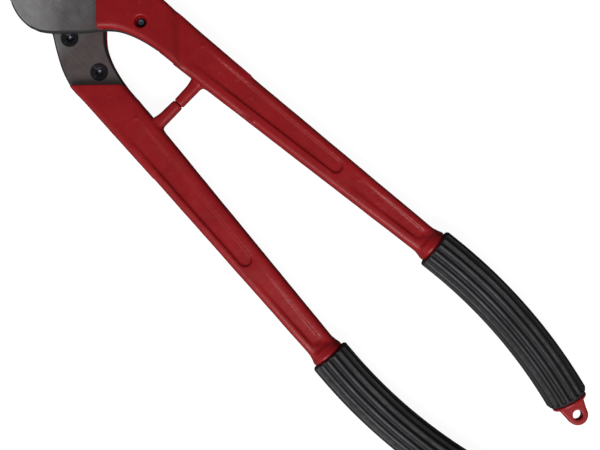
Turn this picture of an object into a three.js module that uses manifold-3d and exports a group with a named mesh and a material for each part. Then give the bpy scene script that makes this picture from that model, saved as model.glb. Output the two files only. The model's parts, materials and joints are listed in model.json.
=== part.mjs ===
// Two-handed cable cutter of the 600 mm class, closed, lying on its side.
// Millimetres, +Z up. The pivot axis is the Z axis, the jaws point to +X and the handles to -X.
// The tool is two equal halves: the right half is the left half turned half a turn about X.
// The left half (+Y) holds the lower blade, the right half (-Y) the upper one.

import * as THREE from 'three';
import { mergeVertices } from 'three/addons/utils/BufferGeometryUtils.js';
import Module from 'manifold-3d';

const wasm = await Module();
wasm.setup();

// ---------------------------------------------------------------- driving dimensions

const GAP = 0.3;                     // clearance between pieces that touch
const PAST = 1;                      // how far a cutter runs past the face it opens
const THROUGH = 40;                  // reach of a cutter that goes right through

// layers, measured from the plane in which the two blades slide
const SLIDE_TOP = -GAP / 2;          // sliding face of the lower blade
const BLADE_THICK = 7.5;
const BLADE_BACK = SLIDE_TOP - BLADE_THICK;
const EAR_THICK = 8.25;
const EAR_FACE = BLADE_BACK - GAP;   // face of the ear that carries the blade
const EAR_BACK = EAR_FACE - EAR_THICK;
const BEAM_HALF = 8;                 // the beam is 16 mm thick
const REST_LEVEL = 16.5;             // height of the sliding plane above the table

// hub and pivot
const HUB_BACK_R = 38;               // round back of the blade's hub
const HUB_FRONT_R = 32;              // hub on the side that the other blade covers
const PIVOT_D = 12;
const HEX_ACROSS = 19;
const WASHER_D = 22;
const WASHER_THICK = 2;
const LOCK_WASHER_D = 20.5;
const LOCK_WASHER_THICK = 2.6;
const LOCK_WASHER_SPLIT = 1.6;
const NUT_THICK = 7;
const BOLT_PROUD = 1.2;              // thread showing past the nut

// the diagonal lines across the ear, as distances from the pivot
const EAR_END = 30.9;
const SHOULDER = 76;
const CREASE = 91;
const STEP_SLOPE = 0.47;             // fall of the short step behind the crease
const RAMP_START = 94;               // where the long shallow ramp leaves the step
const RAMP_END = 149;                // where it meets the face of the beam
const RAMP_DROP = 6.8;

// beam: centre line and width
const BEAM_ANGLE = THREE.MathUtils.degToRad(5.42);
const BEND_START = new THREE.Vector2(-360.25, 59.54);
const BEND_RADIUS = 405;
const BEAM_HALF_WIDTH_REAR = 11;     // inside the collar
const BEAM_HALF_WIDTH_FRONT = 16.3;  // level with the shoulder
const BEAM_REAR = -347;
const BEAM_FRONT = -75;
const BEAM_EDGE = 4;                 // rounding of the forged edges
const EDGE_STEPS = 3;                // facets in that rounding

// stop lug
const STOP_REAR = -132.9;
const STOP_FRONT = -124.8;
const STOP_ROOT = -122;              // front of the lug where it leaves the beam
const STOP_HALF = 6.5;
const STOP_ROUND = 2.8;              // rounding of its front and rear edges

// recesses forged into both faces of the beam
const RIM = 6.3;
const RECESSES = [
  { start: -112, end: -256, ramp: 45, depth: 1.7, innerRim: 8.8 },
  { start: -262, end: -337, ramp: 60, depth: 1.5, innerRim: 7.6 },
];

// round end of the handle, grip and hanging eye; lengths run along the centre line from BEND_START
const COLLAR_R = 13.3;
const COLLAR_END = -11;              // rear face of the collar, where the grip begins
const COLLAR_LENGTH = 14;
// hollow flare from the beam to the collar as [radius, distance from its front]
const COLLAR_FLARE = [[BEAM_HALF, 0], [9, 3], [10.2, 6], [11.4, 8.2], [12.5, 9.8], [COLLAR_R, 10.6]];
const CORE_R = 12;
const GRIP_END = 148;
const GRIP_R = 16.5;
const GROOVE_R = 14.9;
const RIBS = 16;
// one rib as [share of the pitch, radius]: groove, flank, crown, flank
const RIB_PROFILE = [[0, GROOVE_R], [0.22, GRIP_R - 0.35], [0.5, GRIP_R], [0.78, GRIP_R - 0.35]];
const SPIGOT_R = 5;
const SPIGOT_LENGTH = 14;
const FLANGE_R = 14.3;
const FLANGE_THICK = 2.6;
const EYE_THICK = 8;
const EYE_HOLE_R = 4;
const EYE_TIP_R = 8.3;
const EYE_ROOT_HALF = 11;
const EYE_REACH = 10.6;              // flange face to hole centre

// countersunk blade screws, M6
const SCREWS = { front: [-31.8, 22.1], rear: [-66.8, 25] };
const SCREW_HEAD_R = 6.6;
const SCREW_SHANK_R = 3;
const SCREW_SOCKET = 4;              // across the flats of the hexagon socket
const SCREW_SOCKET_DEPTH = 3;
const SCREW_SUNK = 0.2;
const SCREW_END = EAR_BACK + 3.6;     // the screws stop short of the back of the ear
const EAR_BORE_R = 4.7;              // the hole is wider at the back of the ear
const EAR_BORE_DEPTH = 4.6;

const COLOURS = {
  red: { color: 0x8c1c1f, roughness: 0.42, metalness: 0.1 },
  blade: { color: 0x6b6767, roughness: 0.38, metalness: 0.85 },
  rubber: { color: 0x1d1c1f, roughness: 0.72, metalness: 0.0 },
  black: { color: 0x1a1a1d, roughness: 0.45, metalness: 0.6 },
  zinc: { color: 0x8f9093, roughness: 0.35, metalness: 0.9 },
};

// ---------------------------------------------------------------- solids and booleans

function solid(geometry) {
  const bare = geometry.clone();
  bare.deleteAttribute('normal');
  bare.deleteAttribute('uv');
  const merged = mergeVertices(bare, 1e-4);
  const mesh = new wasm.Mesh({
    numProp: 3,
    vertProperties: new Float32Array(merged.attributes.position.array),
    triVerts: new Uint32Array(merged.index.array),
  });
  return new wasm.Manifold(mesh);
}

function geometryOf(body) {
  const mesh = body.getMesh();
  const geometry = new THREE.BufferGeometry();
  geometry.setAttribute('position', new THREE.BufferAttribute(new Float32Array(mesh.vertProperties), 3));
  geometry.setIndex(new THREE.BufferAttribute(new Uint32Array(mesh.triVerts), 1));
  geometry.computeVertexNormals();
  return geometry;
}

// closed polygon of an outline, without the doubled points where its curves meet
function polygon(shape, divisions) {
  const points = shape.getPoints(divisions);
  const isNew = (point, i) => point.distanceTo(points.at(i - 1)) > 0.01;
  return new THREE.Shape(points.filter(isNew));
}

// upright prism between two heights; edge rounds the rims of both faces
function prism(shape, low, high, edge = 0, segments = 2, divisions = 8) {
  const geometry = new THREE.ExtrudeGeometry(polygon(shape, divisions), {
    depth: high - low - 2 * edge,
    bevelEnabled: edge > 0,
    bevelThickness: edge,
    bevelSize: edge,
    bevelOffset: -edge,
    bevelSegments: segments,
  });
  return solid(geometry.translate(0, 0, low + edge));
}

// solid of revolution about Z from [radius, height] pairs that start and end on the axis
function turned(profile, sides = 28) {
  const points = profile.map(([radius, height]) => new THREE.Vector2(radius, height));
  return solid(new THREE.LatheGeometry(points, sides).rotateX(Math.PI / 2));
}

function rod(radius, low, high, sides = 28) {
  return turned([[0, low], [radius, low], [radius, high], [0, high]], sides);
}

function hexagonPrism(across, low, high) {
  const corner = across / Math.sqrt(3);
  const geometry = new THREE.CylinderGeometry(corner, corner, high - low, 6);
  return solid(geometry.rotateX(Math.PI / 2).translate(0, 0, (low + high) / 2));
}

// hexagon with its corners turned off on the faces asked for
function hexagonHead(low, high, chamferLow, chamferHigh) {
  const corner = HEX_ACROSS / Math.sqrt(3) + 0.05;
  const flat = HEX_ACROSS / 2 - 0.4;
  const drop = (corner - flat) * Math.tan(Math.PI / 6);
  const profile = [[0, low], [chamferLow ? flat : corner, low]];
  if (chamferLow) profile.push([corner, low + drop]);
  if (chamferHigh) profile.push([corner, high - drop]);
  profile.push([chamferHigh ? flat : corner, high], [0, high]);
  return turned(profile, 36).intersect(hexagonPrism(HEX_ACROSS, low, high));
}

function vectors(pairs) {
  return pairs.map(([x, y]) => new THREE.Vector2(x, y));
}

// ---------------------------------------------------------------- outlines of one half

// inner edge of tang and ear, from the beam; the last points run into the round back of the hub
const TANG_INNER = [[-88.8, 18.4], [-77.7, 16.1], [-67.3, 12.9], [-58.2, 8.6], [-51.9, 3.8],
  [-47, -1.2], [-38.3, -11.6], [-30, -19.6], [-20.4, -29.3], [-12.6, -35]];
const EAR_POINTS = 7;                // how many of them the ear follows
// outer edge of tang and ear, from the covered hub to the beam
const TANG_OUTER = [[-16, 27.7], [-21.5, 30.4], [-29.6, 35.6], [-42.2, 42.8],
  [-52, 46.9], [-61.5, 49.2], [-75.2, 49.9]];

const HUB_BACK_FROM = THREE.MathUtils.degToRad(-98);
const HUB_BACK_TO = THREE.MathUtils.degToRad(-61);
const HUB_FRONT_FROM = THREE.MathUtils.degToRad(60);
const HUB_FRONT_TO = THREE.MathUtils.degToRad(120);
const JAW_BACK = [[25, -31], [36, -30.4], [47, -27.2], [60, -17.8], [70, -3], [73.4, 7.2]];
const JAW_TIP = [71.6, 10.6];
const EDGE_MIDDLE = [45, 1.5];
const HEEL = [19.5, 13.5];
const EDGE = circleThrough(JAW_TIP, EDGE_MIDDLE, HEEL);
const EDGE_LAND = 1.2;               // height of the square land at the cutting edge
const EDGE_BEVEL = 5.6;              // width of the ground bevel behind it

// circle through three points, as centre and radius
function circleThrough([ax, ay], [bx, by], [cx, cy]) {
  const d = 2 * (ax * (by - cy) + bx * (cy - ay) + cx * (ay - by));
  const a2 = ax * ax + ay * ay;
  const b2 = bx * bx + by * by;
  const c2 = cx * cx + cy * cy;
  const x = (a2 * (by - cy) + b2 * (cy - ay) + c2 * (ay - by)) / d;
  const y = (a2 * (cx - bx) + b2 * (ax - cx) + c2 * (bx - ax)) / d;
  return { x, y, radius: Math.hypot(ax - x, ay - y) };
}

function bladeShape() {
  const shape = new THREE.Shape();
  shape.moveTo(...TANG_INNER[0]);
  shape.splineThru(vectors(TANG_INNER.slice(1)));
  shape.absarc(0, 0, HUB_BACK_R, HUB_BACK_FROM, HUB_BACK_TO, false);
  shape.splineThru(vectors(JAW_BACK));
  shape.lineTo(...JAW_TIP);
  const from = Math.atan2(JAW_TIP[1] - EDGE.y, JAW_TIP[0] - EDGE.x);
  const to = Math.atan2(HEEL[1] - EDGE.y, HEEL[0] - EDGE.x);
  shape.absarc(EDGE.x, EDGE.y, EDGE.radius, from, to, true);
  shape.absarc(0, 0, HUB_FRONT_R, HUB_FRONT_FROM, HUB_FRONT_TO, false);
  shape.splineThru(vectors(TANG_OUTER.slice(1)));
  return shape;
}

// plan of the ear and the front of the beam
function earShape() {
  const shape = new THREE.Shape();
  const rear = -200;
  const bend = -112.6;
  shape.moveTo(rear, beamEdge(rear, -1));
  shape.lineTo(bend, beamEdge(bend, -1));
  shape.splineThru(vectors([[-100.5, 19.6], ...TANG_INNER.slice(0, EAR_POINTS)]));
  shape.lineTo(-24, -28.4);
  shape.lineTo(0, -28.4);
  shape.lineTo(0, 23.2);
  shape.lineTo(...TANG_OUTER[0]);
  shape.splineThru(vectors(TANG_OUTER.slice(1)));
  shape.lineTo(rear, beamEdge(rear, 1));
  return shape;
}

function beamCentre(x) {
  return BEND_START.y - (x - BEND_START.x) * Math.tan(BEAM_ANGLE);
}

// y of the beam's outer (side 1) or inner (side -1) edge
function beamEdge(x, side, inset = 0) {
  const taper = (BEAM_HALF_WIDTH_FRONT - BEAM_HALF_WIDTH_REAR) / (BEAM_FRONT - BEAM_REAR);
  const half = BEAM_HALF_WIDTH_REAR + (x - BEAM_REAR) * taper;
  return beamCentre(x) + side * (half - inset);
}

function beamShape() {
  const front = -104;
  return new THREE.Shape(vectors([
    [front, beamEdge(front, -1)], [front, beamEdge(front, 1)],
    [BEAM_REAR, beamEdge(BEAM_REAR, 1)], [BEAM_REAR, beamEdge(BEAM_REAR, -1)],
  ]));
}

// plan of the lug with a foot inside the beam; its tip is cut off square later
function stopShape() {
  const root = 36;
  const tip = -STOP_ROUND;
  const fillet = 3;
  const foot = 6;
  const inner = beamEdge(STOP_REAR, -1);
  const buried = (x) => beamEdge(x, -1, 1.2);
  const shape = new THREE.Shape();
  shape.moveTo(STOP_REAR - fillet - foot, root);
  shape.lineTo(STOP_REAR - fillet - foot, buried(STOP_REAR - fillet - foot));
  shape.lineTo(STOP_REAR - fillet, inner);
  shape.quadraticCurveTo(STOP_REAR, inner, STOP_REAR, inner - fillet);
  shape.lineTo(STOP_REAR, tip);
  shape.lineTo(STOP_FRONT, tip);
  shape.lineTo(STOP_FRONT + 0.5, inner - 9);
  shape.quadraticCurveTo(STOP_ROOT - 1.6, inner - 3, STOP_ROOT, inner);
  shape.lineTo(STOP_ROOT + foot, buried(STOP_ROOT + foot));
  shape.lineTo(STOP_ROOT + foot, root);
  return shape;
}

// plan of one recess, with a round end towards the grip
function recessShape({ start, end, innerRim }) {
  const outer = (x) => beamEdge(x, 1, RIM);
  const inner = (x) => beamEdge(x, -1, innerRim);
  const round = (outer(end) - inner(end)) / 2;
  const centre = end + round;
  const shape = new THREE.Shape();
  shape.moveTo(start, inner(start));
  shape.lineTo(start, outer(start));
  shape.lineTo(centre, outer(centre));
  const middle = (outer(centre) + inner(centre)) / 2;
  shape.absarc(centre, middle, round, Math.PI / 2, Math.PI * 1.5, false);
  return shape;
}

// ---------------------------------------------------------------- centre line of the round end

// point at a distance along the centre line, positive behind the start of the bend
function onCentreLine(distance) {
  if (distance <= 0) {
    const x = BEND_START.x - distance * Math.cos(BEAM_ANGLE);
    const y = BEND_START.y + distance * Math.sin(BEAM_ANGLE);
    return new THREE.Vector3(x, y, 0);
  }
  const angle = BEAM_ANGLE - distance / BEND_RADIUS;
  const x = BEND_START.x - BEND_RADIUS * (Math.sin(BEAM_ANGLE) - Math.sin(angle));
  const y = BEND_START.y - BEND_RADIUS * (Math.cos(BEAM_ANGLE) - Math.cos(angle));
  return new THREE.Vector3(x, y, 0);
}

// direction of the centre line towards the end of the handle, as an angle about Z
function heading(distance) {
  return Math.PI - BEAM_ANGLE + Math.max(distance, 0) / BEND_RADIUS;
}

class CentreLine extends THREE.Curve {
  constructor(from, to) {
    super();
    this.from = from;
    this.to = to;
  }

  getPoint(t) {
    return onCentreLine(this.from + t * (this.to - this.from));
  }
}

function sweep(shape, from, to, steps) {
  const extrudePath = new CentreLine(from, to);
  return new THREE.ExtrudeGeometry(shape, { extrudePath, steps, curveSegments: 12 });
}

// stands a solid that was turned about Z on the centre line, pointing towards the handle's end
function alongHandle(body, distance) {
  const { x, y } = onCentreLine(distance);
  const degrees = THREE.MathUtils.radToDeg(heading(distance));
  return body.rotate([0, 90, 0]).rotate([0, 0, degrees]).translate([x, y, 0]);
}

function circle(radius, segments = 24) {
  const points = [];
  for (let i = 0; i < segments; i += 1) {
    const angle = (2 * Math.PI * i) / segments;
    points.push(new THREE.Vector2(radius * Math.cos(angle), radius * Math.sin(angle)));
  }
  return points;
}

// ---------------------------------------------------------------- pieces of one half

// side profile carried across the tool at 45 degrees; its points are [distance from the pivot, z]
function diagonalProfile(points) {
  const width = 260;
  const shape = new THREE.Shape(vectors(points));
  const geometry = new THREE.ExtrudeGeometry(shape, { depth: width, bevelEnabled: false });
  geometry.translate(0, 0, -width / 2);
  geometry.rotateX(Math.PI / 2);
  geometry.rotateZ(THREE.MathUtils.degToRad(135));
  return solid(geometry);
}

// lug with rounded edges and a flat, square-edged tip that meets the other lug
function stopLug() {
  return prism(stopShape(), -STOP_HALF, STOP_HALF, STOP_ROUND, 3, 5).trimByPlane([0, 1, 0], GAP / 2);
}

// shears a solid upright: what is level with the back of the beam follows the ramp, and the line
// where the ramp ends stays where it is
function onRamp(body) {
  const slope = RAMP_DROP / (RAMP_END - RAMP_START);
  const tilt = slope * Math.SQRT1_2;
  return body.transform([1, 0, -tilt, 0, 0, 1, tilt, 0, 0, 0, 1, 0, 0, 0, -slope * RAMP_END, 1]);
}

function earBody() {
  const stepEnd = CREASE + (-BEAM_HALF - EAR_BACK) / STEP_SLOPE;
  const stepped = diagonalProfile([
    [EAR_END, EAR_BACK], [EAR_END, EAR_FACE], [SHOULDER, EAR_FACE], [SHOULDER, BEAM_HALF],
    [RAMP_END, BEAM_HALF], [RAMP_END, -BEAM_HALF], [stepEnd, -BEAM_HALF], [CREASE, EAR_BACK],
  ]);
  const behindShoulder = diagonalProfile([
    [SHOULDER, EAR_BACK], [SHOULDER, BEAM_HALF], [RAMP_END, BEAM_HALF], [RAMP_END, EAR_BACK],
  ]);
  const plan = prism(earShape(), EAR_BACK, BEAM_HALF, BEAM_EDGE, EDGE_STEPS, 4);
  const ramp = onRamp(prism(earShape(), -BEAM_HALF, THROUGH, BEAM_EDGE, EDGE_STEPS, 4));
  return plan.intersect(stepped).add(plan.intersect(ramp).intersect(behindShoulder));
}

function recessCutter(recess) {
  const { start, end, ramp, depth } = recess;
  const above = 6;
  const floor = new THREE.Shape(vectors([
    [start, 0], [start - ramp, -depth], [end - 1, -depth], [end - 1, above], [start, above],
  ]));
  const width = 120;
  const geometry = new THREE.ExtrudeGeometry(floor, { depth: width, bevelEnabled: false });
  geometry.rotateX(Math.PI / 2).translate(0, width, BEAM_HALF);
  return prism(recessShape(recess), 0, BEAM_HALF + above, 0).intersect(solid(geometry));
}

// the same recess in the other face, where it follows the ramp
function backRecessCutter(cutter) {
  const [onBeam, beforeBeam] = cutter.mirror([0, 0, 1]).splitByPlane([-1, 1, 0], RAMP_END);
  return onBeam.add(onRamp(beforeBeam));
}

function earHole([x, y]) {
  const holeR = SCREW_SHANK_R + GAP;
  const boreEnd = EAR_BACK + EAR_BORE_DEPTH;
  const profile = [[0, EAR_BACK - PAST], [EAR_BORE_R, EAR_BACK - PAST], [EAR_BORE_R, boreEnd],
    [holeR, boreEnd], [holeR, EAR_FACE + PAST], [0, EAR_FACE + PAST]];
  return turned(profile, 24).translate([x, y, 0]);
}

function handleGeometry() {
  const collar = turned([[0, 0], ...COLLAR_FLARE, [COLLAR_R, COLLAR_LENGTH - 1],
    [COLLAR_R - 1, COLLAR_LENGTH], [0, COLLAR_LENGTH]], 32);
  const core = sweep(new THREE.Shape(circle(CORE_R)), COLLAR_END - 8, GRIP_END, 10);
  const bore = rod(SPIGOT_R + GAP, -SPIGOT_LENGTH - PAST, 4, 20);
  let handle = prism(beamShape(), -BEAM_HALF, BEAM_HALF, BEAM_EDGE, EDGE_STEPS)
    .add(earBody())
    .add(stopLug())
    .add(alongHandle(collar, COLLAR_END - COLLAR_LENGTH))
    .add(solid(core))
    .subtract(alongHandle(bore, GRIP_END));
  for (const recess of RECESSES) {
    const cutter = recessCutter(recess);
    handle = handle.subtract(cutter).subtract(backRecessCutter(cutter));
  }
  for (const place of Object.values(SCREWS)) {
    handle = handle.subtract(earHole(place));
  }
  return geometryOf(handle);
}

function pivotHole() {
  return rod(PIVOT_D / 2 + GAP, -THROUGH, THROUGH);
}

// cone that grinds the bevel along the concave cutting edge
function bevelCutter() {
  const wide = EDGE.radius + EDGE_BEVEL;
  const land = SLIDE_TOP - EDGE_LAND;
  const profile = [[0, BLADE_BACK - PAST], [wide, BLADE_BACK - PAST], [wide, BLADE_BACK],
    [EDGE.radius, land], [0, land]];
  const cone = turned(profile, 96).translate([EDGE.x, EDGE.y, 0]);
  const length = 70;
  const width = 60;
  const jaw = new THREE.BoxGeometry(length, width, 4 * BLADE_THICK);
  jaw.translate(HEEL[0] - 1.5 + length / 2, HEEL[1] - width / 2, 0);
  return cone.intersect(solid(jaw));
}

function bladeGeometry() {
  const seatLine = SHOULDER - GAP;
  const ahead = diagonalProfile([[-130, -THROUGH], [seatLine, -THROUGH], [seatLine, THROUGH],
    [-130, THROUGH]]);
  let blade = prism(bladeShape(), BLADE_BACK, SLIDE_TOP, 0, 0, 5)
    .intersect(ahead)
    .subtract(bevelCutter())
    .subtract(pivotHole());
  for (const [x, y] of Object.values(SCREWS)) {
    const holeR = SCREW_SHANK_R + GAP;
    const headR = SCREW_HEAD_R + GAP * Math.SQRT2;
    const seat = SLIDE_TOP - SCREW_SUNK;
    const profile = [[0, BLADE_BACK - PAST], [holeR, BLADE_BACK - PAST], [holeR, seat - headR + holeR],
      [headR, seat], [headR, PAST], [0, PAST]];
    blade = blade.subtract(turned(profile, 24).translate([x, y, 0]));
  }
  return geometryOf(blade);
}

function screwGeometry() {
  const top = SLIDE_TOP - SCREW_SUNK;
  const land = 0.4;
  const chamfer = 0.8;
  const profile = [[0, SCREW_END], [SCREW_SHANK_R - chamfer, SCREW_END],
    [SCREW_SHANK_R, SCREW_END + chamfer], [SCREW_SHANK_R, top - SCREW_HEAD_R + SCREW_SHANK_R],
    [SCREW_HEAD_R - land, top - land], [SCREW_HEAD_R - land, top], [0, top]];
  const socket = hexagonPrism(SCREW_SOCKET, top - SCREW_SOCKET_DEPTH, top + PAST);
  return geometryOf(turned(profile, 24).subtract(socket));
}

function gripGeometry() {
  const outline = [];
  for (let rib = 0; rib < RIBS; rib += 1) {
    for (const [step, radius] of RIB_PROFILE) {
      const angle = (2 * Math.PI * (rib + step)) / RIBS;
      outline.push(new THREE.Vector2(radius * Math.cos(angle), radius * Math.sin(angle)));
    }
  }
  const shape = new THREE.Shape(outline);
  shape.holes.push(new THREE.Path(circle(CORE_R + GAP).reverse()));
  return geometryOf(solid(sweep(shape, COLLAR_END + GAP, GRIP_END, 12)));
}

function eyeShape() {
  const root = FLANGE_THICK - 0.5;
  const hole = FLANGE_THICK + EYE_REACH;
  const shape = new THREE.Shape();
  shape.moveTo(root, -EYE_ROOT_HALF);
  shape.quadraticCurveTo(hole - 4, -EYE_TIP_R - 0.7, hole, -EYE_TIP_R);
  shape.absarc(hole, 0, EYE_TIP_R, -Math.PI / 2, Math.PI / 2, false);
  shape.quadraticCurveTo(hole - 4, EYE_TIP_R + 0.7, root, EYE_ROOT_HALF);
  return shape;
}

function eyeGeometry() {
  const lead = 0.8;
  const rim = 0.6;
  const profile = [[0, -SPIGOT_LENGTH], [SPIGOT_R - lead, -SPIGOT_LENGTH],
    [SPIGOT_R, lead - SPIGOT_LENGTH], [SPIGOT_R, 0], [FLANGE_R - rim, 0], [FLANGE_R, rim],
    [FLANGE_R, FLANGE_THICK - rim], [FLANGE_R - rim, FLANGE_THICK], [0, FLANGE_THICK]];
  const flange = turned(profile, 24).rotate([0, 90, 0]);
  const hole = rod(EYE_HOLE_R, -EYE_THICK, EYE_THICK, 16).translate([FLANGE_THICK + EYE_REACH, 0, 0]);
  const tab = prism(eyeShape(), -EYE_THICK / 2, EYE_THICK / 2, 1, 1, 5);
  const { x, y } = onCentreLine(GRIP_END + GAP);
  const degrees = THREE.MathUtils.radToDeg(heading(GRIP_END));
  return geometryOf(flange.add(tab).subtract(hole).rotate([0, 0, degrees]).translate([x, y, 0]));
}

// ---------------------------------------------------------------- pivot hardware

const LOWER_WASHER = BLADE_BACK - GAP - WASHER_THICK;
const HEAD_TOP = LOWER_WASHER - GAP;
const UPPER_WASHER = GAP - BLADE_BACK;
const LOCK_WASHER = UPPER_WASHER + WASHER_THICK + GAP;
const NUT_SEAT = LOCK_WASHER + LOCK_WASHER_THICK + GAP;
const BOLT_END = NUT_SEAT + NUT_THICK + BOLT_PROUD;

function boltGeometry() {
  const radius = PIVOT_D / 2;
  const chamfer = 1.2;
  const shank = turned([[0, HEAD_TOP - PAST], [radius, HEAD_TOP - PAST], [radius, BOLT_END - chamfer],
    [radius - chamfer, BOLT_END], [0, BOLT_END]]);
  return geometryOf(hexagonHead(-REST_LEVEL, HEAD_TOP, true, false).add(shank));
}

function nutGeometry() {
  const body = hexagonHead(NUT_SEAT, NUT_SEAT + NUT_THICK, true, true);
  return geometryOf(body.subtract(pivotHole()));
}

function washerGeometry(diameter, low, thick) {
  return geometryOf(rod(diameter / 2, low, low + thick).subtract(pivotHole()));
}

function lockWasherGeometry() {
  const ring = solid(washerGeometry(LOCK_WASHER_D, LOCK_WASHER, LOCK_WASHER_THICK));
  const split = new THREE.BoxGeometry(LOCK_WASHER_SPLIT, LOCK_WASHER_D, 4 * LOCK_WASHER_THICK);
  split.rotateY(Math.PI / 9).translate(0, LOCK_WASHER_D / 2, LOCK_WASHER + LOCK_WASHER_THICK / 2);
  return geometryOf(ring.subtract(solid(split)));
}

// ---------------------------------------------------------------- assembly

function piece(name, geometry, look) {
  const mesh = new THREE.Mesh(geometry, new THREE.MeshStandardMaterial(COLOURS[look]));
  mesh.name = name;
  return mesh;
}

function half(side) {
  const group = new THREE.Group();
  group.add(piece(`${side}_handle`, handleGeometry(), 'red'));
  group.add(piece(`${side}_blade`, bladeGeometry(), 'blade'));
  group.add(piece(`${side}_grip`, gripGeometry(), 'rubber'));
  group.add(piece(`${side}_hanging_eye`, eyeGeometry(), 'red'));
  for (const [row, [x, y]] of Object.entries(SCREWS)) {
    const screw = piece(`${side}_blade_screw_${row}`, screwGeometry(), 'black');
    screw.position.set(x, y, 0);
    group.add(screw);
  }
  return group;
}

const cutter = new THREE.Group();
cutter.position.z = REST_LEVEL;
const left = half('left');
const right = half('right');
right.rotation.x = Math.PI;
cutter.add(left, right);
const lowerWasher = washerGeometry(WASHER_D, LOWER_WASHER, WASHER_THICK);
const upperWasher = washerGeometry(WASHER_D, UPPER_WASHER, WASHER_THICK);
cutter.add(piece('pivot_bolt', boltGeometry(), 'zinc'));
cutter.add(piece('pivot_washer_lower', lowerWasher, 'zinc'));
cutter.add(piece('pivot_washer_upper', upperWasher, 'zinc'));
cutter.add(piece('pivot_lock_washer', lockWasherGeometry(), 'black'));
cutter.add(piece('pivot_nut', nutGeometry(), 'zinc'));

export default cutter;
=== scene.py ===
import json
import math

import bmesh
import bpy
import numpy as np
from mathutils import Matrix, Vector, noise


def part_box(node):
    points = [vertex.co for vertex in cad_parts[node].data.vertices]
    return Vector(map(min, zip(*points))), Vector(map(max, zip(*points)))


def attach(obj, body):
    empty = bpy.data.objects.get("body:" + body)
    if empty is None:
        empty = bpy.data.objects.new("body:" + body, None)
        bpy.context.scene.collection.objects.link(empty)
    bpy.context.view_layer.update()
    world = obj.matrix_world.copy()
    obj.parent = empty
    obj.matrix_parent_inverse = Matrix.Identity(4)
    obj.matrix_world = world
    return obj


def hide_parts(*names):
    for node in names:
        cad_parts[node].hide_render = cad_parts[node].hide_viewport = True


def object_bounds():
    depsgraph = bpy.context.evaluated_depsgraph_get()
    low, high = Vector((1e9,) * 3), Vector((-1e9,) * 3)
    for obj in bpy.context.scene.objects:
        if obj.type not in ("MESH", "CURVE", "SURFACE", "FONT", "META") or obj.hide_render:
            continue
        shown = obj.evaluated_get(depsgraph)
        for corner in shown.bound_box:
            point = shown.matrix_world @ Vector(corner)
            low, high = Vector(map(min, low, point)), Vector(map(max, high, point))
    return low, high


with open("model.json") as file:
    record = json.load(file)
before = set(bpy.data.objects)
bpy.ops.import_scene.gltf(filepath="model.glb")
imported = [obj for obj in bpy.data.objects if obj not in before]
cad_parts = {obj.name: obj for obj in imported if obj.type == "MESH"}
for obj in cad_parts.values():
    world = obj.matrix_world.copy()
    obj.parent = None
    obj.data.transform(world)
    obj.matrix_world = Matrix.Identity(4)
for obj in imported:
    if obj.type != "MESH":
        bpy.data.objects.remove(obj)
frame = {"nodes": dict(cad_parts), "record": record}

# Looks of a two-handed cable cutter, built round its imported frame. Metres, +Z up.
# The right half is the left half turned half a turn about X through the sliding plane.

MM = 0.001
SCENE = bpy.context.scene
CAD_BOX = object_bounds()
SLIDE_PLANE = (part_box("left_blade")[1].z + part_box("right_blade")[0].z) / 2
SIDES = {"left": 1, "right": -1}
BODY_OF = {node: body for body, nodes in frame["record"]["behaviour"]["bodies"].items() for node in nodes}

# camera: straight down on the middle of the tool, turned so that the handles run to the lower right
CAMERA_PLACE = (-262.4 * MM, 1.55 * MM)
CAMERA_HEIGHT = 720 * MM             # above the sliding plane
CAMERA_TURN = math.radians(224.17)
CAMERA_LENS = 55.4
CAMERA_SENSOR = 36

# light: one large softbox, high, behind the tool and on its left
LIGHT_SIDE = (-0.697, 0.717, 0)      # level direction from the tool towards it
LIGHT_ELEVATION = math.radians(52)
LIGHT_DISTANCE = 1.3
LIGHT_SIZE = (1.1, 0.6)
LIGHT_POWER = 11
LIGHT_COLOUR = (1.0, 0.985, 0.97)
SKY_DARK = 0.13
SKY_BRIGHT = 0.75
SKY_BELOW = 0.3                      # share of the sky's level that is left below the horizon

# floor
FLOOR_HALF = 30.0
FLOOR_DROP = 0.1 * MM                # how far it lies under the tool
FLOOR_GREY = 0.25
FLOOR_GLOW = 0.93

# handle: forged and painted
HANDLE_VOXEL = 0.5 * MM
HANDLE_SMOOTHING = 26
FLARE_FROM = -333 * MM               # the flare from the beam to its round collar is blended softly
FLARE_TO = -346 * MM
FLARE_FADE = 2.5 * MM
FLARE_SMOOTHING = 80
CREASE_AT = 91.4 * MM                # hollow where the ear ends, as a distance along its diagonal
CREASE_WIDTH = 2.6 * MM
CREASE_DEPTH = 0.25 * MM
EAR_ABOVE = 8.5 * MM                 # the ear's back stands further out than this, the beam doesn't
FORGED_FROM = -104 * MM              # behind this line the beam has a parting line at mid height
FORGED_TO = -347 * MM
PARTING_HEIGHT = 0.32 * MM
PARTING_WIDTH = 0.8 * MM
WAVES = [(18 * MM, 0.13 * MM), (5 * MM, 0.035 * MM)]     # (length, height) of the forged unevenness
# raised nibs in the paint, as (side, x, y, radius, height)
NIBS = [
    ("left", -114.2 * MM, 30.6 * MM, 2.0 * MM, 0.35 * MM),
    ("left", -87.5 * MM, 33.0 * MM, 1.4 * MM, 0.22 * MM),
    ("right", -113.6 * MM, -45.0 * MM, 1.8 * MM, 0.3 * MM),
    ("right", -270.9 * MM, -55.4 * MM, 1.6 * MM, 0.25 * MM),
]

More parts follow.
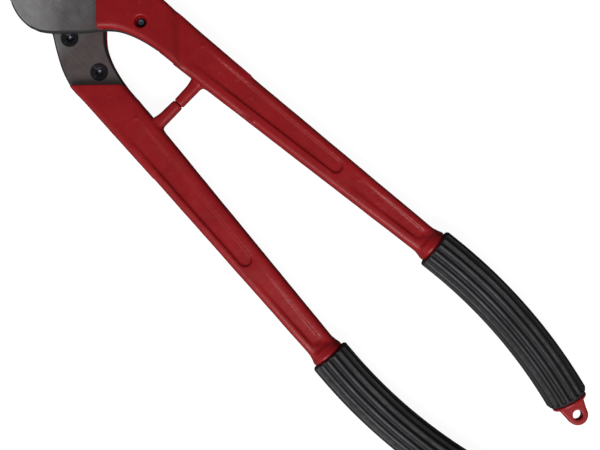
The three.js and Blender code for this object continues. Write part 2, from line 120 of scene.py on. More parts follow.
# grip: its centre line is straight, then bends inwards on an arc
BEAM_ANGLE = math.radians(5.42)
BEND_START = (-360.25 * MM, 59.54 * MM)
BEND_RADIUS = 405 * MM
GRIP_FROM = -10.7 * MM               # lengths along the centre line from the start of the bend
GRIP_TO = 148 * MM
GRIP_STEP = 3 * MM
CROWN_R = 16.5 * MM
GROOVE_R = 14.9 * MM
END_RING_R = 16.1 * MM
BORE_R = 12.3 * MM
RIBS = 16
RIB_FLANK = (0.05, 0.45)             # where a flank starts and ends, as shares of the pitch from the groove
RIB_START = 0                        # length of the plain ring at the collar, and at the hanging eye
RIB_STOP = 1.6 * MM
RIB_RISE = 1.6 * MM
COLLAR_CHAMFER = 1.1 * MM            # rounding of the sleeve's two ends
EYE_CHAMFER = 3.2 * MM

EYE_VOXEL = 0.35 * MM
EYE_SMOOTHING = 6

BLADE_EDGE = 1.2 * MM                # rounding of the outline of tang and hub
TANG_END = 74.5 * MM                 # along the tang's diagonal; edges further back stay sharp
JAW_EDGE = 0.4 * MM
HOLE_EDGE = 0.2 * MM
HOLE_REACH = 9.5 * MM                # edges nearer than this to a hole's axis belong to the hole
JAW_FROM = 18 * MM                   # ahead of this line the bevels are ground bright

# fasteners
GAP = 0.3 * MM
HEX_ACROSS = 19 * MM
PIVOT_R = 6 * MM
PIVOT_PITCH = 1.75 * MM
SCREW_HEAD_R = 6.3 * MM
SCREW_SHANK_R = 3.0 * MM
SCREW_PITCH = 1.0 * MM
SCREW_SOCKET = 4 * MM
SCREW_SOCKET_DEPTH = 3.0 * MM
SOCKET_GLINT_R = 1.1 * MM             # painted glint at the bottom of the socket


# ---------------------------------------------------------------- materials

class Nodes:
    """Short calls for the node tree of one material."""

    def __init__(self, name):
        self.material = bpy.data.materials.new(name)
        self.material.use_nodes = True
        self.tree = self.material.node_tree
        self.tree.nodes.clear()
        self.shader = self.new("ShaderNodeBsdfPrincipled")
        output = self.new("ShaderNodeOutputMaterial")
        self.link(self.shader.outputs["BSDF"], output.inputs["Surface"])
        self.place = self.new("ShaderNodeTexCoord").outputs["Object"]

    def new(self, kind, **settings):
        node = self.tree.nodes.new(kind)
        for key, value in settings.items():
            setattr(node, key, value)
        return node

    def link(self, source, target):
        self.tree.links.new(source, target)

    def fixed(self, **values):
        """Sets the shader's own sockets; _ in a name stands for a space."""
        for key, value in values.items():
            self.shader.inputs[key.replace("_", " ")].default_value = value

    def stretched(self, scale, turn=0.0):
        mapping = self.new("ShaderNodeMapping")
        mapping.inputs["Rotation"].default_value = (0, 0, turn)
        mapping.inputs["Scale"].default_value = scale
        self.link(self.place, mapping.inputs["Vector"])
        return mapping.outputs["Vector"]

    def noise(self, size, detail=2.0, roughness=0.5, vector=None, distortion=0.0):
        """Noise whose features are about size metres across."""
        node = self.new("ShaderNodeTexNoise")
        node.inputs["Scale"].default_value = 1 / size
        node.inputs["Detail"].default_value = detail
        node.inputs["Roughness"].default_value = roughness
        node.inputs["Distortion"].default_value = distortion
        self.link(vector or self.place, node.inputs["Vector"])
        return node.outputs["Fac"]

    def ramp(self, value, stops):
        """Maps value through (position, level or colour) stops."""
        node = self.new("ShaderNodeValToRGB")
        elements = node.color_ramp.elements
        while len(elements) < len(stops):
            elements.new(0.5)
        for element, (position, level) in zip(elements, stops):
            element.position = position
            colour = level if isinstance(level, tuple) else (level,) * 3
            element.color = (*colour, 1)
        self.link(value, node.inputs["Fac"])
        return node.outputs["Color"]

    def math(self, operation, a, b):
        node = self.new("ShaderNodeMath", operation=operation)
        for socket, value in zip(node.inputs, (a, b)):
            if isinstance(value, (int, float)):
                socket.default_value = value
            else:
                self.link(value, socket)
        return node.outputs["Value"]

    def mix(self, share, a, b, blend="MIX"):
        """Mixes two colours; a or b may be a plain tuple."""
        node = self.new("ShaderNodeMix", data_type="RGBA", blend_type=blend)
        sockets = {"Factor": share, "A": a, "B": b}
        for name, value in sockets.items():
            socket = next(s for s in node.inputs if s.name == name and s.enabled)
            if isinstance(value, tuple):
                socket.default_value = (*value, 1)
            elif isinstance(value, (int, float)):
                socket.default_value = value
            else:
                self.link(value, socket)
        return next(s for s in node.outputs if s.enabled)

    def bump(self, height, distance, normal=None):
        node = self.new("ShaderNodeBump")
        node.inputs["Distance"].default_value = distance
        self.link(height, node.inputs["Height"])
        if normal:
            self.link(normal, node.inputs["Normal"])
        return node.outputs["Normal"]

    def span(self, value, low, high):
        """0 where value is low, 1 where it is high."""
        node = self.new("ShaderNodeMapRange")
        node.inputs["From Min"].default_value = low
        node.inputs["From Max"].default_value = high
        self.link(value, node.inputs["Value"])
        return node.outputs["Result"]

    def along(self, axis):
        """The object's own X, Y or Z."""
        node = self.new("ShaderNodeSeparateXYZ")
        self.link(self.place, node.inputs["Vector"])
        return node.outputs[axis]

    def attribute(self, name):
        return self.new("ShaderNodeAttribute", attribute_name=name).outputs["Fac"]

    def pointiness(self):
        return self.new("ShaderNodeNewGeometry").outputs["Pointiness"]

    def colour(self, socket):
        self.link(socket, self.shader.inputs["Base Color"])

    def roughness(self, socket):
        self.link(socket, self.shader.inputs["Roughness"])

    def normal(self, socket):
        self.link(socket, self.shader.inputs["Normal"])


def red_enamel():
    """Sprayed and baked enamel on a forging: uneven depth of colour, orange peel, scuffs, painted shade in
    concave places and in the hollow behind the ear, and edges drawn lighter as wear and painted highlight.
    """
    n = Nodes("red_enamel")
    depth = n.noise(22 * MM, detail=4, roughness=0.55)
    body = n.ramp(depth, [(0.32, (0.285, 0.0050, 0.0085)), (0.68, (0.350, 0.0075, 0.0115))])
    mottle = n.ramp(n.noise(2.2 * MM, detail=3, roughness=0.6), [(0.35, 0.0), (0.7, 0.30)])
    mottled = n.mix(mottle, body, (0.38, 0.012, 0.014))
    curve = n.pointiness()
    # painted shade: concave places, where pointiness is low, are drawn in a deeper red
    crevice_shade = n.ramp(curve, [(0.44, 1.0), (0.495, 0.0)])
    painted_shade_red = (0.120, 0.0020, 0.0040)
    shaded = n.mix(crevice_shade, mottled, painted_shade_red)
    # convex edges drawn lighter pink: partly wear of the paint, partly painted highlight
    edge = n.ramp(curve, [(0.52, 0.0), (0.60, 0.4)])
    worn_and_highlit = n.mix(edge, shaded, (0.46, 0.030, 0.042))
    streaks = n.noise(5 * MM, detail=5, roughness=0.7, distortion=0.8)
    patches = n.noise(34 * MM, detail=2)
    scuff = n.math("MULTIPLY", n.ramp(streaks, [(0.58, 0.0), (0.68, 0.5)]),
                   n.ramp(patches, [(0.54, 0.0), (0.63, 1.0)]))
    scuffed = n.mix(scuff, worn_and_highlit, (0.42, 0.060, 0.075))
    # painted shade in the hollow behind the ear
    crease_shade = n.math("MULTIPLY", n.attribute("crease"), 0.3)
    n.colour(n.mix(crease_shade, scuffed, painted_shade_red))
    n.roughness(n.ramp(n.noise(9 * MM, detail=3), [(0.3, 0.30), (0.7, 0.44)]))
    peel = n.bump(n.noise(2.6 * MM, detail=2), 0.10 * MM)
    n.normal(n.bump(n.noise(0.5 * MM, detail=1), 0.008 * MM, peel))
    n.fixed(Specular_IOR_Level=0.32, Coat_Weight=0.08, Coat_Roughness=0.25)
    return n.material


def blade_steel():
    """Hardened steel: surface-ground faces drawn lighter along the +X+Y diagonal as a painted reflection,
    brown-grey towards the tang, black scale on the forged sides.
    """
    n = Nodes("blade_steel")
    lay = n.noise(1.0, detail=5, roughness=0.75, vector=n.stretched((34, 2400, 400), math.radians(38)))
    cross = n.noise(1.0, detail=3, roughness=0.6, vector=n.stretched((1500, 60, 300), math.radians(-25)))
    x = n.along("X")
    y = n.along("Y")
    cloud = n.math("MULTIPLY", n.math("SUBTRACT", n.noise(14 * MM, detail=4, roughness=0.6), 0.5), 0.25)
    # painted reflection: the steel's tone rises along the +X+Y diagonal, with random cloud in it
    painted_sheen_and_cloud = n.math("ADD", n.span(n.math("ADD", x, y), -42 * MM, 57 * MM), cloud)
    steel_tone_with_painted_sheen = n.ramp(painted_sheen_and_cloud, [(0.36, (0.205, 0.196, 0.201)), (0.54, (0.360, 0.350, 0.355)),
                               (0.80, (0.480, 0.470, 0.474))])
    browned = n.mix(n.span(x, -30 * MM, -42 * MM), steel_tone_with_painted_sheen, (0.170, 0.134, 0.133))
    lines = n.mix(1.0, browned, n.ramp(lay, [(0.3, 0.80), (0.7, 1.22)]), blend="MULTIPLY")
    smudge = n.ramp(n.noise(7 * MM, detail=5, roughness=0.65, distortion=0.5), [(0.56, 0.0), (0.74, 0.4)])
    stained = n.mix(smudge, lines, (0.085, 0.070, 0.066))
    n.colour(n.mix(n.attribute("scale"), stained, (0.042, 0.040, 0.043)))
    ground = n.ramp(n.noise(6 * MM, detail=4), [(0.3, 0.34), (0.7, 0.52)])
    n.roughness(n.mix(n.attribute("scale"), ground, (0.72, 0.72, 0.72)))
    marks = n.bump(lay, 0.016 * MM)
    n.normal(n.bump(cross, 0.006 * MM, marks))
    n.fixed(Metallic=0.55, Specular_IOR_Level=0.5)
    return n.material


def grip_rubber():
    """Moulded black rubber: matt, finely pitted, greyer on the crowns, partly as wear where hands hold and
    partly as painted highlight.
    """
    n = Nodes("grip_rubber")
    cloud = n.noise(14 * MM, detail=4, roughness=0.6)
    body = n.ramp(cloud, [(0.3, (0.0050, 0.0040, 0.0055)), (0.7, (0.0100, 0.0080, 0.0105))])
    held = n.span(n.along("X"), -500 * MM, -400 * MM)
    hands = n.ramp(n.noise(24 * MM, detail=4, roughness=0.6), [(0.32, 0.30), (0.68, 1.0)])
    # crowns of the ribs drawn lighter grey: partly wear where hands hold, partly painted highlight
    rubbed_and_highlit = n.math("MULTIPLY", n.ramp(n.attribute("crown"), [(0.70, 0.0), (0.97, 1.0)]),
                    n.math("MULTIPLY", hands, n.math("ADD", n.math("MULTIPLY", held, 0.9), 0.1)))
    worn_and_highlit = n.mix(rubbed_and_highlit, body, (0.100, 0.096, 0.106))
    dust = n.math("MULTIPLY", n.ramp(n.noise(1.6 * MM, detail=5, roughness=0.8), [(0.60, 0.0), (0.72, 0.5)]),
                  n.ramp(n.noise(26 * MM, detail=2), [(0.5, 0.0), (0.62, 1.0)]))
    n.colour(n.mix(dust, worn_and_highlit, (0.075, 0.072, 0.072)))
    n.roughness(n.ramp(n.noise(4 * MM, detail=3), [(0.3, 0.46), (0.7, 0.64)]))
    grain = n.bump(n.noise(0.45 * MM, detail=3, roughness=0.7), 0.03 * MM)
    n.normal(n.bump(n.noise(3.5 * MM, detail=2), 0.06 * MM, grain))
    n.fixed(Specular_IOR_Level=0.35, Sheen_Weight=0.05, Sheen_Roughness=0.5)
    return n.material


def metal_finish(name, dark, light, bare_and_glint, rough, grain):
    """Plated or blackened steel: mottled film, bright metal showing on the corners, a bluish painted glint on
    marked faces, fine grain.
    """
    n = Nodes(name)
    film = n.ramp(n.noise(2.5 * MM, detail=5, roughness=0.65), [(0.3, dark), (0.7, light)])
    corner = n.ramp(n.pointiness(), [(0.53, 0.0), (0.62, 0.7)])
    # painted glint: faces marked by the attribute are drawn light and bluish
    painted_glint_blue = (0.13, 0.155, 0.19)
    n.colour(n.mix(n.attribute("bare_and_glint"), n.mix(corner, film, bare_and_glint), painted_glint_blue))
    n.roughness(n.ramp(n.noise(1.5 * MM, detail=3), [(0.3, rough - 0.07), (0.7, rough + 0.08)]))
    n.normal(n.bump(n.noise(grain, detail=3, roughness=0.6), 0.012 * MM))
    n.fixed(Metallic=0.9, Specular_IOR_Level=0.5)
    return n.material


LOOKS = {
    "handle_paint": red_enamel(),
    "blade_steel": blade_steel(),
    "grip_rubber": grip_rubber(),
    "black_fasteners": metal_finish("black_oxide", (0.020, 0.015, 0.019), (0.038, 0.031, 0.037),
                                    (0.13, 0.13, 0.14), 0.36, 0.6 * MM),
    "zinc_fasteners": metal_finish("zinc_plate", (0.24, 0.245, 0.25), (0.33, 0.33, 0.335),
                                   (0.55, 0.55, 0.55), 0.33, 0.5 * MM),
}


# ---------------------------------------------------------------- mesh helpers

def in_half(points, side):
    """Row-frame points seen from one half, with z measured from the sliding plane."""
    sign = SIDES[side]
    return (points - (0, 0, SLIDE_PLANE)) * (1, sign, sign)


def placed(points, side):
    """Points of one half back in the row frame."""
    sign = SIDES[side]
    return np.asarray(points) * (1, sign, sign) + (0, 0, SLIDE_PLANE)


def coordinates(mesh):
    values = np.empty(len(mesh.vertices) * 3)
    mesh.vertices.foreach_get("co", values)
    return values.reshape(-1, 3)


def add_attribute(mesh, name, domain, values):
    layer = mesh.attributes.new(name, "FLOAT", domain)
    layer.data.foreach_set("value", np.asarray(values, dtype=float))


def new_object(name, mesh):
    piece = bpy.data.objects.new(name, mesh)
    SCENE.collection.objects.link(piece)
    return piece


def object_from(name, work):
    """A new object from a bmesh, which is used up."""
    mesh = bpy.data.meshes.new(name)
    work.to_mesh(mesh)
    work.free()
    return new_object(name, mesh)


def loft(name, rings, closed=False):
    """Skin over rings with equal counts. closed joins the last ring to the first; else both ends are capped."""
    count = len(rings[0])
    points = np.concatenate([np.asarray(ring) for ring in rings])
    spans = len(rings) if closed else len(rings) - 1
    faces = []
    for i in range(spans):
        a = i * count
        b = (i + 1) % len(rings) * count
        for j in range(count):
            k = (j + 1) % count
            faces.append((a + j, a + k, b + k, b + j))
    if not closed:
        last = len(points) - count
        faces.append(tuple(range(count)))
        faces.append(tuple(range(last, last + count)))
    mesh = bpy.data.meshes.new(name)
    mesh.from_pydata([tuple(p) for p in points], [], faces)
    work = bmesh.new()
    work.from_mesh(mesh)
    bmesh.ops.recalc_face_normals(work, faces=work.faces)
    work.to_mesh(mesh)
    work.free()
    return new_object(name, mesh)


def finished(piece, node, slot, sharp=35):
    """Gives a piece its material and shading, and puts it in the place of its CAD node."""
    piece.data.materials.clear()
    piece.data.materials.append(LOOKS[slot])
    piece.data.shade_smooth()
    if sharp:
        piece.data.set_sharp_from_angle(angle=math.radians(sharp))
    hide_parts(node)
    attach(piece, BODY_OF[node])
    return piece


def apply_modifiers(piece):
    mesh = bpy.data.meshes.new_from_object(piece.evaluated_get(bpy.context.evaluated_depsgraph_get()))
    piece.modifiers.clear()
    piece.data = mesh


def add_smoothing(piece, times, group=""):
    smooth = piece.modifiers.new("smooth", "SMOOTH")
    smooth.factor = 0.5
    smooth.iterations = times
    smooth.vertex_group = group


def softened_copy(node, name, voxel, smoothing):
    """A copy of a CAD node, remeshed finely and smoothed so that its edges round off."""
    piece = new_object(name, frame["nodes"][node].data.copy())
    remesh = piece.modifiers.new("remesh", "REMESH")
    remesh.mode = "VOXEL"
    remesh.voxel_size = voxel
    add_smoothing(piece, smoothing)
    apply_modifiers(piece)
    return piece


def smooth_where(piece, weights, times):
    """Smooths a piece further where its vertices' weights are high."""
    group = piece.vertex_groups.new(name="soft")
    for index in np.flatnonzero(weights > 0):
        group.add([int(index)], float(weights[index]), "REPLACE")
    add_smoothing(piece, times, group.name)
    apply_modifiers(piece)
    piece.vertex_groups.clear()


# ---------------------------------------------------------------- handle, blade, grip, eye

def in_crease(points, side):
    """1 in the hollow where the back of the ear falls towards the beam, fading to 0."""
    half = in_half(points, side)
    along = (half[:, 1] - half[:, 0]) / math.sqrt(2)
    return (half[:, 2] < -EAR_ABOVE) * np.exp(-((along - CREASE_AT) / CREASE_WIDTH) ** 2)


def forged(points, normals, side):
    """Moves a handle's surface: unevenness of the forging, its parting line, and nibs in the paint."""
    half = in_half(points, side)
    height = -CREASE_DEPTH * in_crease(points, side)
    for length, rise in WAVES:
        height += [rise * noise.noise(Vector(p / length)) for p in points]
    on_beam = (half[:, 0] < FORGED_FROM) & (half[:, 0] > FORGED_TO)
    upright = np.clip(1 - 2.5 * np.abs(normals[:, 2]), 0, 1)
    height += PARTING_HEIGHT * on_beam * upright * np.exp(-(half[:, 2] / PARTING_WIDTH) ** 2)
    for nib_side, x, y, radius, rise in NIBS:
        if nib_side == side:
            distance = np.hypot(points[:, 0] - x, points[:, 1] - y)
            height += rise * (normals[:, 2] > 0.7) * np.exp(-(distance / radius) ** 2 * 2)
    return points + normals * height[:, None]


def handle(side):
    node = f"{side}_handle"
    piece = softened_copy(node, f"{side}_forged_handle", HANDLE_VOXEL, HANDLE_SMOOTHING)
    x = coordinates(piece.data)[:, 0]
    flare = np.clip((FLARE_FROM + FLARE_FADE - x) / FLARE_FADE, 0, 1)
    flare *= np.clip((x - FLARE_TO + FLARE_FADE) / FLARE_FADE, 0, 1)
    smooth_where(piece, flare, FLARE_SMOOTHING)
    mesh = piece.data
    points = coordinates(mesh)
    normals = np.array([n.vector for n in mesh.vertex_normals])
    mesh.vertices.foreach_set("co", forged(points, normals, side).ravel())
    mesh.update()
    # the crease attribute carries painted shade into the hollow behind the ear
    add_attribute(mesh, "crease", "POINT", in_crease(points, side))
    return finished(piece, node, "handle_paint", sharp=None)


def blade(side):
    """The blade's own solid with rounded outer edges and sharper holes; scale marks what isn't ground."""
    node = f"{side}_blade"
    holes = [(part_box(name)[0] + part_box(name)[1]) / 2
             for name in (f"{side}_blade_screw_front", f"{side}_blade_screw_rear", "pivot_bolt")]
    work = bmesh.new()
    work.from_mesh(frame["nodes"][node].data)
    bmesh.ops.remove_doubles(work, verts=work.verts, dist=0.03 * MM)
    bmesh.ops.dissolve_limit(work, angle_limit=math.radians(0.5), verts=work.verts, edges=work.edges)

    def rounding(edge):
        """How far an edge is rounded; 0 leaves it sharp."""
        middle = (edge.verts[0].co + edge.verts[1].co) / 2
        if edge.calc_face_angle(0) < math.radians(30):
            return 0
        if any((middle.xy - hole.xy).length < HOLE_REACH for hole in holes):
            return HOLE_EDGE
        if max(abs(face.normal.z) for face in edge.link_faces) < 0.5:
            return 0
        if (abs(middle.y) - middle.x) / math.sqrt(2) > TANG_END:
            return 0
        return JAW_EDGE if middle.x > JAW_FROM else BLADE_EDGE

    # the outline goes first and unclamped: clamping to its shortest edge would leave it sharp
    for width in (BLADE_EDGE, JAW_EDGE, HOLE_EDGE):
        edges = [edge for edge in work.edges if rounding(edge) == width]
        bmesh.ops.bevel(work, geom=edges, offset=width, segments=2, profile=0.5, affect="EDGES",
                        clamp_overlap=width < BLADE_EDGE)
    piece = finished(object_from(f"{side}_ground_blade", work), node, "blade_steel", sharp=30)
    mesh = piece.data
    ground = []
    for face in mesh.polygons:
        flat = abs(face.normal.z) > 0.999
        face.use_smooth = not flat
        ground.append(flat or (face.center.x > JAW_FROM and abs(face.normal.z) > 0.3))
    add_attribute(mesh, "scale", "FACE", [1.0 - g for g in ground])
    return piece


def on_centre_line(distance):
    """Point and heading of the left handle's centre line, at a distance behind the start of the bend."""
    x, y = BEND_START
    if distance <= 0:
        point = (x - distance * math.cos(BEAM_ANGLE), y + distance * math.sin(BEAM_ANGLE))
        return point, math.pi - BEAM_ANGLE
    angle = BEAM_ANGLE - distance / BEND_RADIUS
    point = (x - BEND_RADIUS * (math.sin(BEAM_ANGLE) - math.sin(angle)),
             y - BEND_RADIUS * (math.cos(BEAM_ANGLE) - math.cos(angle)))
    return point, math.pi - angle


def smoothstep(value, low, high):
    t = np.clip((value - low) / (high - low), 0, 1)
    return t * t * (3 - 2 * t)


def rib_angles():
    """Angles round the grip, closer together on the flanks of the ribs."""
    half_pitch = [0.0, 0.05, 0.09, 0.13, 0.17, 0.21, 0.25, 0.29, 0.33, 0.38, 0.44]
    pitch = half_pitch + [0.5] + [1 - f for f in reversed(half_pitch[1:])]
    return np.array([(rib + f) * 2 * math.pi / RIBS for rib in range(RIBS) for f in pitch])


def ribbed_radius(angles):
    """Round-shouldered ribs; a groove lies at angle 0."""
    share = angles * RIBS / (2 * math.pi) % 1
    from_groove = np.minimum(share, 1 - share)
    return GROOVE_R + (CROWN_R - GROOVE_R) * smoothstep(from_groove, *RIB_FLANK)


def rounded_end(from_end, size):
    """How far a quarter circle of the given size takes a surface in, at a distance from its end."""
    inside = max(size - from_end, 0)
    return size - math.sqrt(size ** 2 - inside ** 2)


def grip_ring(distance, radii, angles, side):
    (x, y), heading = on_centre_line(distance)
    across = radii * np.sin(angles)
    points = np.column_stack([x - across * math.sin(heading), y + across * math.cos(heading),
                              radii * np.cos(angles)])
    return placed(points, side)


def grip(side):
    """Ribbed sleeve with rounded ends; crown is 1 on top of a rib and 0 in a groove."""
    node = f"{side}_grip"
    angles = rib_angles()
    ribbed = ribbed_radius(angles)
    length = GRIP_TO - GRIP_FROM
    ends = np.array([0, 0.12, 0.3, 0.6, 1.0, 1.5, 2.0, 2.5, 3.0, 3.6, 4.4, 5.6]) * MM
    middle = np.linspace(8 * MM, length - 8 * MM, round(length / GRIP_STEP))
    outer = []
    crown = []
    for along in [*ends, *middle, *(length - ends[::-1])]:
        rise = smoothstep(along, RIB_START, RIB_START + RIB_RISE)
        fall = smoothstep(length - along, RIB_STOP, RIB_STOP + RIB_RISE)
        radii = END_RING_R + (ribbed - END_RING_R) * rise * fall
        radii = radii - rounded_end(along, COLLAR_CHAMFER) - rounded_end(length - along, EYE_CHAMFER)
        outer.append(grip_ring(GRIP_FROM + along, radii, angles, side))
        crown.append((radii - GROOVE_R) / (CROWN_R - GROOVE_R))
    bore = [grip_ring(GRIP_FROM + along, np.full(len(angles), BORE_R), angles, side)
            for along in np.linspace(length, 0, round(length / (2 * GRIP_STEP)))]
    piece = finished(loft(f"{side}_ribbed_grip", outer + bore, closed=True), node, "grip_rubber")
    in_bore = np.zeros(len(bore) * len(angles))
    # the crown attribute also lightens the ribs' tops in the rubber's colour, partly as painted highlight
    add_attribute(piece.data, "crown", "POINT", np.concatenate([*crown, in_bore]))
    return piece


def hanging_eye(side):
    node = f"{side}_hanging_eye"
    piece = softened_copy(node, f"{side}_eye_end", EYE_VOXEL, EYE_SMOOTHING)
    return finished(piece, node, "handle_paint", sharp=None)


# ---------------------------------------------------------------- fasteners

def hexagon(across, corner, angles):
    """Radius of a hexagon with rounded corners at each angle; a corner lies at angle 0."""
    sector = (angles + math.pi / 6) % (math.pi / 3) - math.pi / 6
    flat = across / 2 / np.cos(math.pi / 6 - np.abs(sector))
    centre = (across / 2 - corner) / math.cos(math.pi / 6)
    reach = np.sqrt(np.maximum(corner ** 2 - (centre * np.sin(sector)) ** 2, 0))
    rounded = centre * np.cos(sector) + reach
    in_corner = np.abs(sector) < math.atan2(corner * 0.5, centre + corner * math.cos(math.pi / 6))
    return np.where(in_corner, rounded, flat)


def ring(radii, height, angles):
    """One ring round the Z axis; radii may be one number or one for each angle."""
    radii = np.broadcast_to(radii, angles.shape)
    return np.column_stack([radii * np.cos(angles), radii * np.sin(angles), np.full(len(angles), height)])


def round_angles(count):
    return np.linspace(0, 2 * math.pi, count, endpoint=False)


def hex_rings(low, high, chamfer_low, chamfer_high, angles):
    """Rings of a hexagon whose corners are turned off by a 30 degree cone on the faces asked for."""
    outline = hexagon(HEX_ACROSS, 0.5 * MM, angles)
    face = HEX_ACROSS / 2 - 0.5 * MM
    slope = math.tan(math.radians(30))
    steps = np.linspace(0, 1, 7)
    drop = (HEX_ACROSS / math.sqrt(3) - face) * slope
    lower = [(low + t * drop * chamfer_low, face + t * drop / slope if chamfer_low else 1.0) for t in steps]
    upper = [(high - t * drop * chamfer_high, face + t * drop / slope if chamfer_high else 1.0)
             for t in steps[::-1]]
    return [ring(np.minimum(outline, limit), height, angles) for height, limit in lower + upper]


def thread(radius, low, high, pitch, angles):
    """Rings of an external thread between two heights."""
    depth = 0.6 * pitch
    rings = []
    for height in np.arange(low, high, pitch / 8):
        phase = (height / pitch - angles / (2 * math.pi)) % 1
        rings.append(ring(radius - depth * (1 - np.abs(2 * phase - 1)) * 0.8, height, angles))
    return rings


def pivot_bolt():
    low, high = (corner.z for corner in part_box("pivot_bolt"))
    head_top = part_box("pivot_washer_lower")[0].z - GAP
    nut_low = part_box("pivot_nut")[0].z
    angles = round_angles(96)
    dish = low + 0.35 * MM
    rings = [ring(HEX_ACROSS * 0.28, dish, angles), ring(HEX_ACROSS * 0.36, dish, angles),
             ring(HEX_ACROSS * 0.38, low, angles)]
    rings += hex_rings(low, head_top, True, False, angles)
    rings += [ring(PIVOT_R + 0.6 * MM, head_top, angles), ring(PIVOT_R, head_top + 0.25 * MM, angles),
              ring(PIVOT_R, nut_low - 0.5 * MM, angles)]
    rings += thread(PIVOT_R, nut_low, high - 1.0 * MM, PIVOT_PITCH, angles)
    rings += [ring(PIVOT_R - 1.2 * MM, high - 0.25 * MM, angles), ring(PIVOT_R - 1.6 * MM, high, angles)]
    return finished(loft("hex_pivot_bolt", rings), "pivot_bolt", "zinc_fasteners")


def pivot_nut():
    low, high = (corner.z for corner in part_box("pivot_nut"))
    angles = round_angles(96)
    bore = PIVOT_R + GAP
    lead = 0.9 * MM
    rings = [ring(bore, low + lead, angles), ring(bore + lead, low, angles)]
    rings += hex_rings(low, high, True, True, angles)
    rings += [ring(bore + lead, high, angles), ring(bore, high - lead, angles)]
    return finished(loft("hex_pivot_nut", rings, closed=True), "pivot_nut", "zinc_fasteners")


def washer(node, name):
    """Stamped washer: rolled upper rim, sharper lower one."""
    low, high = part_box(node)
    radius = (high.x - low.x) / 2
    angles = round_angles(96)
    bore = PIVOT_R + GAP
    rolled = 0.45 * MM
    broken = 0.15 * MM
    profile = [(bore, low.z + broken), (bore + broken, low.z), (radius - broken, low.z),
               (radius, low.z + broken), (radius, high.z - rolled),
               (radius - 0.3 * rolled, high.z - 0.3 * rolled), (radius - rolled, high.z),
               (bore + rolled, high.z), (bore, high.z - rolled)]
    rings = [ring(r, z, angles) for r, z in profile]
    return finished(loft(name, rings, closed=True), node, "zinc_fasteners")


def lock_washer():
    """Split spring washer: a square section with broken corners, cut on the slant and slightly sprung."""
    node = "pivot_lock_washer"
    low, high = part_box(node)
    middle = (low.z + high.z) / 2
    bore = PIVOT_R + GAP
    radius = (high.x - low.x) / 2
    centre = (radius + bore) / 2
    half_width = (radius - bore) / 2 - 0.02 * MM
    half_height = (high.z - low.z) / 2 - 0.05 * MM
    corner = 0.4 * MM
    section = []
    for index in range(4):
        start = index * math.pi / 2
        cx = (half_width - corner) * (1 if index in (0, 3) else -1)
        cz = (half_height - corner) * (1 if index in (0, 1) else -1)
        for turn in np.linspace(0, math.pi / 2, 4):
            section.append((cx + corner * math.cos(start + turn), cz + corner * math.sin(start + turn)))
    section = np.array(section)
    slant = math.tan(math.radians(20)) / centre
    opening = 0.9 * MM / centre
    rings = []
    for turn in np.linspace(opening, 2 * math.pi - opening, 120):
        angle = math.pi / 2 + turn + section[:, 1] * slant
        r = centre + section[:, 0]
        rings.append(np.column_stack([r * np.cos(angle), r * np.sin(angle), middle + section[:, 1]]))
    return finished(loft("split_lock_washer", rings), node, "black_fasteners")


def blade_screw(side, row):
    """Countersunk socket screw: chamfered point, thread run-out, cone, narrow rim and hexagon socket."""
    node = f"{side}_blade_screw_{row}"
    low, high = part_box(node)
    centre = (low + high) / 2
    length = high.z - low.z
    angles = round_angles(72)
    cone = SCREW_HEAD_R - SCREW_SHANK_R
    shank_end = -length
    rings = [ring(SCREW_SHANK_R - 1.9 * MM, shank_end + 0.35 * MM, angles),
             ring(SCREW_SHANK_R - 1.1 * MM, shank_end, angles),
             ring(SCREW_SHANK_R - 0.8 * MM, shank_end, angles),
             ring(SCREW_SHANK_R - 0.1 * MM, shank_end + 0.7 * MM, angles)]
    rings += thread(SCREW_SHANK_R, shank_end + 0.8 * MM, -cone - 2.0 * MM, SCREW_PITCH, angles)
    rings += [ring(SCREW_SHANK_R, -cone - 0.6 * MM, angles), ring(SCREW_HEAD_R, -0.45 * MM, angles),
              ring(SCREW_HEAD_R, -0.15 * MM, angles), ring(SCREW_HEAD_R - 0.15 * MM, 0, angles)]
    socket = hexagon(SCREW_SOCKET, 0.2 * MM, angles)
    mouth = SCREW_SOCKET / math.sqrt(3)
    rings += [ring(mouth + 0.55 * MM, 0, angles), ring(np.maximum(socket, mouth), -0.3 * MM, angles),
              ring(socket, -0.55 * MM, angles), ring(socket, -SCREW_SOCKET_DEPTH, angles),
              ring(0.45 * SCREW_SOCKET, -SCREW_SOCKET_DEPTH - 0.1 * MM, angles),
              ring(0.05 * MM, -SCREW_SOCKET_DEPTH - 0.9 * MM, angles)]
    sign = SIDES[side]
    top = high.z if sign > 0 else low.z
    rings = [r * (1, sign, sign) + (centre.x, centre.y, top) for r in rings]
    piece = finished(loft(f"{side}_socket_screw_{row}", rings), node, "black_fasteners")
    from_axis = [(face.center.xy - centre.xy).length for face in piece.data.polygons]
    from_top = [sign * (top - face.center.z) for face in piece.data.polygons]
    # the shank's end face is drawn as cut metal with a painted glint, and a small spot at the socket's bottom
    # as a painted glint
    add_attribute(piece.data, "bare_and_glint", "FACE", [
        r < SCREW_SHANK_R - 0.9 * MM and depth > length - 0.5 * MM
        or r < SOCKET_GLINT_R and depth < length / 2 for r, depth in zip(from_axis, from_top)])
    return piece


# ---------------------------------------------------------------- camera, light and floor

def camera():
    data = bpy.data.cameras.new("camera")
    data.lens = CAMERA_LENS
    data.sensor_width = CAMERA_SENSOR
    eye = new_object("camera", data)
    eye.location = (*CAMERA_PLACE, SLIDE_PLANE + CAMERA_HEIGHT)
    eye.rotation_euler = (0, 0, CAMERA_TURN)
    SCENE.camera = eye


def softbox(name, aim, size, power):
    data = bpy.data.lights.new(name, "AREA")
    data.shape = "RECTANGLE"
    data.size, data.size_y = size
    data.energy = power
    data.color = LIGHT_COLOUR
    towards = Vector(LIGHT_SIDE) * math.cos(LIGHT_ELEVATION) + Vector((0, 0, math.sin(LIGHT_ELEVATION)))
    light = new_object(name, data)
    light.location = aim + towards * LIGHT_DISTANCE
    light.rotation_euler = (-towards).to_track_quat("-Z", "Y").to_euler()


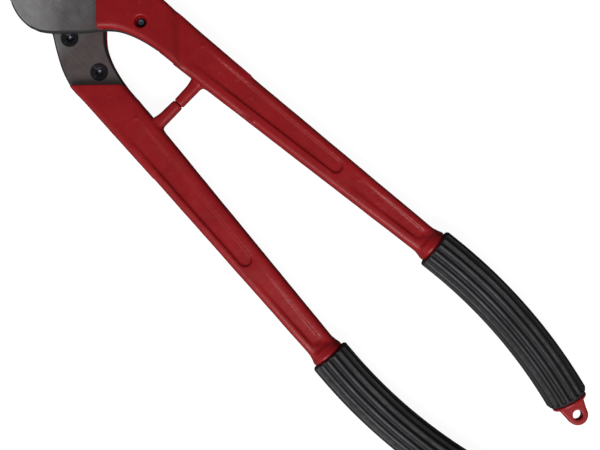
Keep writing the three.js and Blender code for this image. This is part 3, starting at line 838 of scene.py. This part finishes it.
def sky():
    """Soft surround: grey overhead, brighter low on the light's side, dark opposite and below."""
    world = bpy.data.worlds.new("studio")
    world.use_nodes = True
    tree = world.node_tree
    tree.nodes.clear()
    direction = tree.nodes.new("ShaderNodeTexCoord").outputs["Generated"]
    background = tree.nodes.new("ShaderNodeBackground")
    background.inputs["Color"].default_value = (0.97, 0.98, 1.0, 1)
    product = tree.nodes.new("ShaderNodeMath")
    product.operation = "MULTIPLY"
    ranges = ((LIGHT_SIDE, -0.15, 0.95, SKY_DARK, SKY_BRIGHT), ((0, 0, 1), -0.35, 0.1, SKY_BELOW, 1.0))
    for factor, (axis, low, high, dark, bright) in zip(product.inputs, ranges):
        along = tree.nodes.new("ShaderNodeVectorMath")
        along.operation = "DOT_PRODUCT"
        along.inputs[1].default_value = axis
        tree.links.new(direction, along.inputs[0])
        level = tree.nodes.new("ShaderNodeMapRange")
        level.interpolation_type = "SMOOTHSTEP"
        for key, value in (("From Min", low), ("From Max", high), ("To Min", dark), ("To Max", bright)):
            level.inputs[key].default_value = value
        tree.links.new(along.outputs["Value"], level.inputs["Value"])
        tree.links.new(level.outputs["Result"], factor)
    tree.links.new(product.outputs["Value"], background.inputs["Strength"])
    output = tree.nodes.new("ShaderNodeOutputWorld")
    tree.links.new(background.outputs["Background"], output.inputs["Surface"])
    SCENE.world = world


def floor():
    """Wide white table. It glows a little, so that shadows on it stay pale, and lights nothing itself."""
    mesh = bpy.data.meshes.new("floor")
    corners = [(x * FLOOR_HALF, y * FLOOR_HALF, 0) for x, y in ((-1, -1), (1, -1), (1, 1), (-1, 1))]
    mesh.from_pydata(corners, [], [(0, 1, 2, 3)])
    table = new_object("floor", mesh)
    table.location.z = -FLOOR_DROP
    n = Nodes("white_table")
    n.fixed(Base_Color=(FLOOR_GREY, FLOOR_GREY, FLOOR_GREY, 1), Roughness=0.9, Specular_IOR_Level=0.0,
            Emission_Color=(1, 1, 1, 1), Emission_Strength=FLOOR_GLOW)
    mesh.materials.append(n.material)
    table.visible_diffuse = False
    table.visible_glossy = False


def studio():
    camera()
    sky()
    softbox("key", (CAD_BOX[0] + CAD_BOX[1]) / 2, LIGHT_SIZE, LIGHT_POWER)
    floor()
    SCENE.view_settings.view_transform = "Standard"


# ---------------------------------------------------------------- the tool

studio()
for side in SIDES:
    handle(side)
    blade(side)
    grip(side)
    hanging_eye(side)
    for row in ("front", "rear"):
        blade_screw(side, row)
pivot_bolt()
pivot_nut()
washer("pivot_washer_lower", "flat_washer_lower")
washer("pivot_washer_upper", "flat_washer_upper")
lock_washer()
